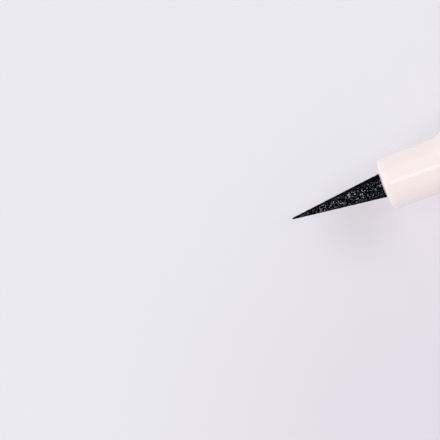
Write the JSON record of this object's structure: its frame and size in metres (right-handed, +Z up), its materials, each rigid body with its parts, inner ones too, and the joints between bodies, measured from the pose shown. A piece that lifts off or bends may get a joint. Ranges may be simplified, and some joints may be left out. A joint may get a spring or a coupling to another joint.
{
  "type": "liquid eyeliner pen",
  "caption": "Round free-ink eyeliner pen with a pointed felt nib in a stepped front section, a straight barrel and a pull-off cap posted on its tail.",
  "frame": {"origin": "middle of the bounding box's base: the pen lies on its side on the surface Z = 0, midway between the nib's point and the cap's end", "axes": "+X along the pen's axis from the nib to the posted cap, +Y across it, +Z up from the surface that the pen lies on"},
  "size_m": [0.1462, 0.0104, 0.0104],
  "materials": {
    "ivory_gloss": "glossy moulded ivory plastic with a faint pink cast",
    "inked_felt": "dense felt, wet with black ink",
    "feed_fibre": "bonded fibre stained by the ink",
    "white_plastic": "natural white moulded plastic",
    "tank_plastic": "milky moulded plastic",
    "seal_rubber": "smooth dark elastomer",
    "steel": "bright stainless steel"
  },
  "bodies": {
    "pen": {"nib": "inked_felt", "nib_collar": "white_plastic", "front_section": "ivory_gloss", "overflow_sponge": "feed_fibre", "collector": "white_plastic", "relay_core": "feed_fibre", "collector_seal": "seal_rubber", "front_seal": "seal_rubber", "barrel": "ivory_gloss", "ink_tank": "tank_plastic", "tank_plug": "white_plastic", "tank_plug_seal": "seal_rubber", "tail_plug": "ivory_gloss"},
    "ball": {"mixing_ball": "steel"},
    "cap": {"cap_shell": "ivory_gloss", "cap_sleeve": "white_plastic", "cap_crown": "ivory_gloss", "cap_spring": "steel"},
    "inner_cap": {"inner_cap": "white_plastic", "inner_cap_seal": "seal_rubber"}
  },
  "joints": [
    {"name": "cap_pull", "type": "slide", "parent": "pen", "child": "cap", "axis": [1, 0, 0], "range_m": [0, 0.045]},
    {"name": "inner_cap_press", "type": "slide", "parent": "cap", "child": "inner_cap", "axis": [1, 0, 0], "range_m": [0, 0.00195], "stiffness_N_per_m": 800, "springref_m": -0.0015, "deforming": ["cap_spring"]},
    {"name": "ball_slide", "type": "slide", "parent": "pen", "child": "ball", "axis": [1, 0, 0], "range_m": [-0.0021, 0.03666]}
  ]
}
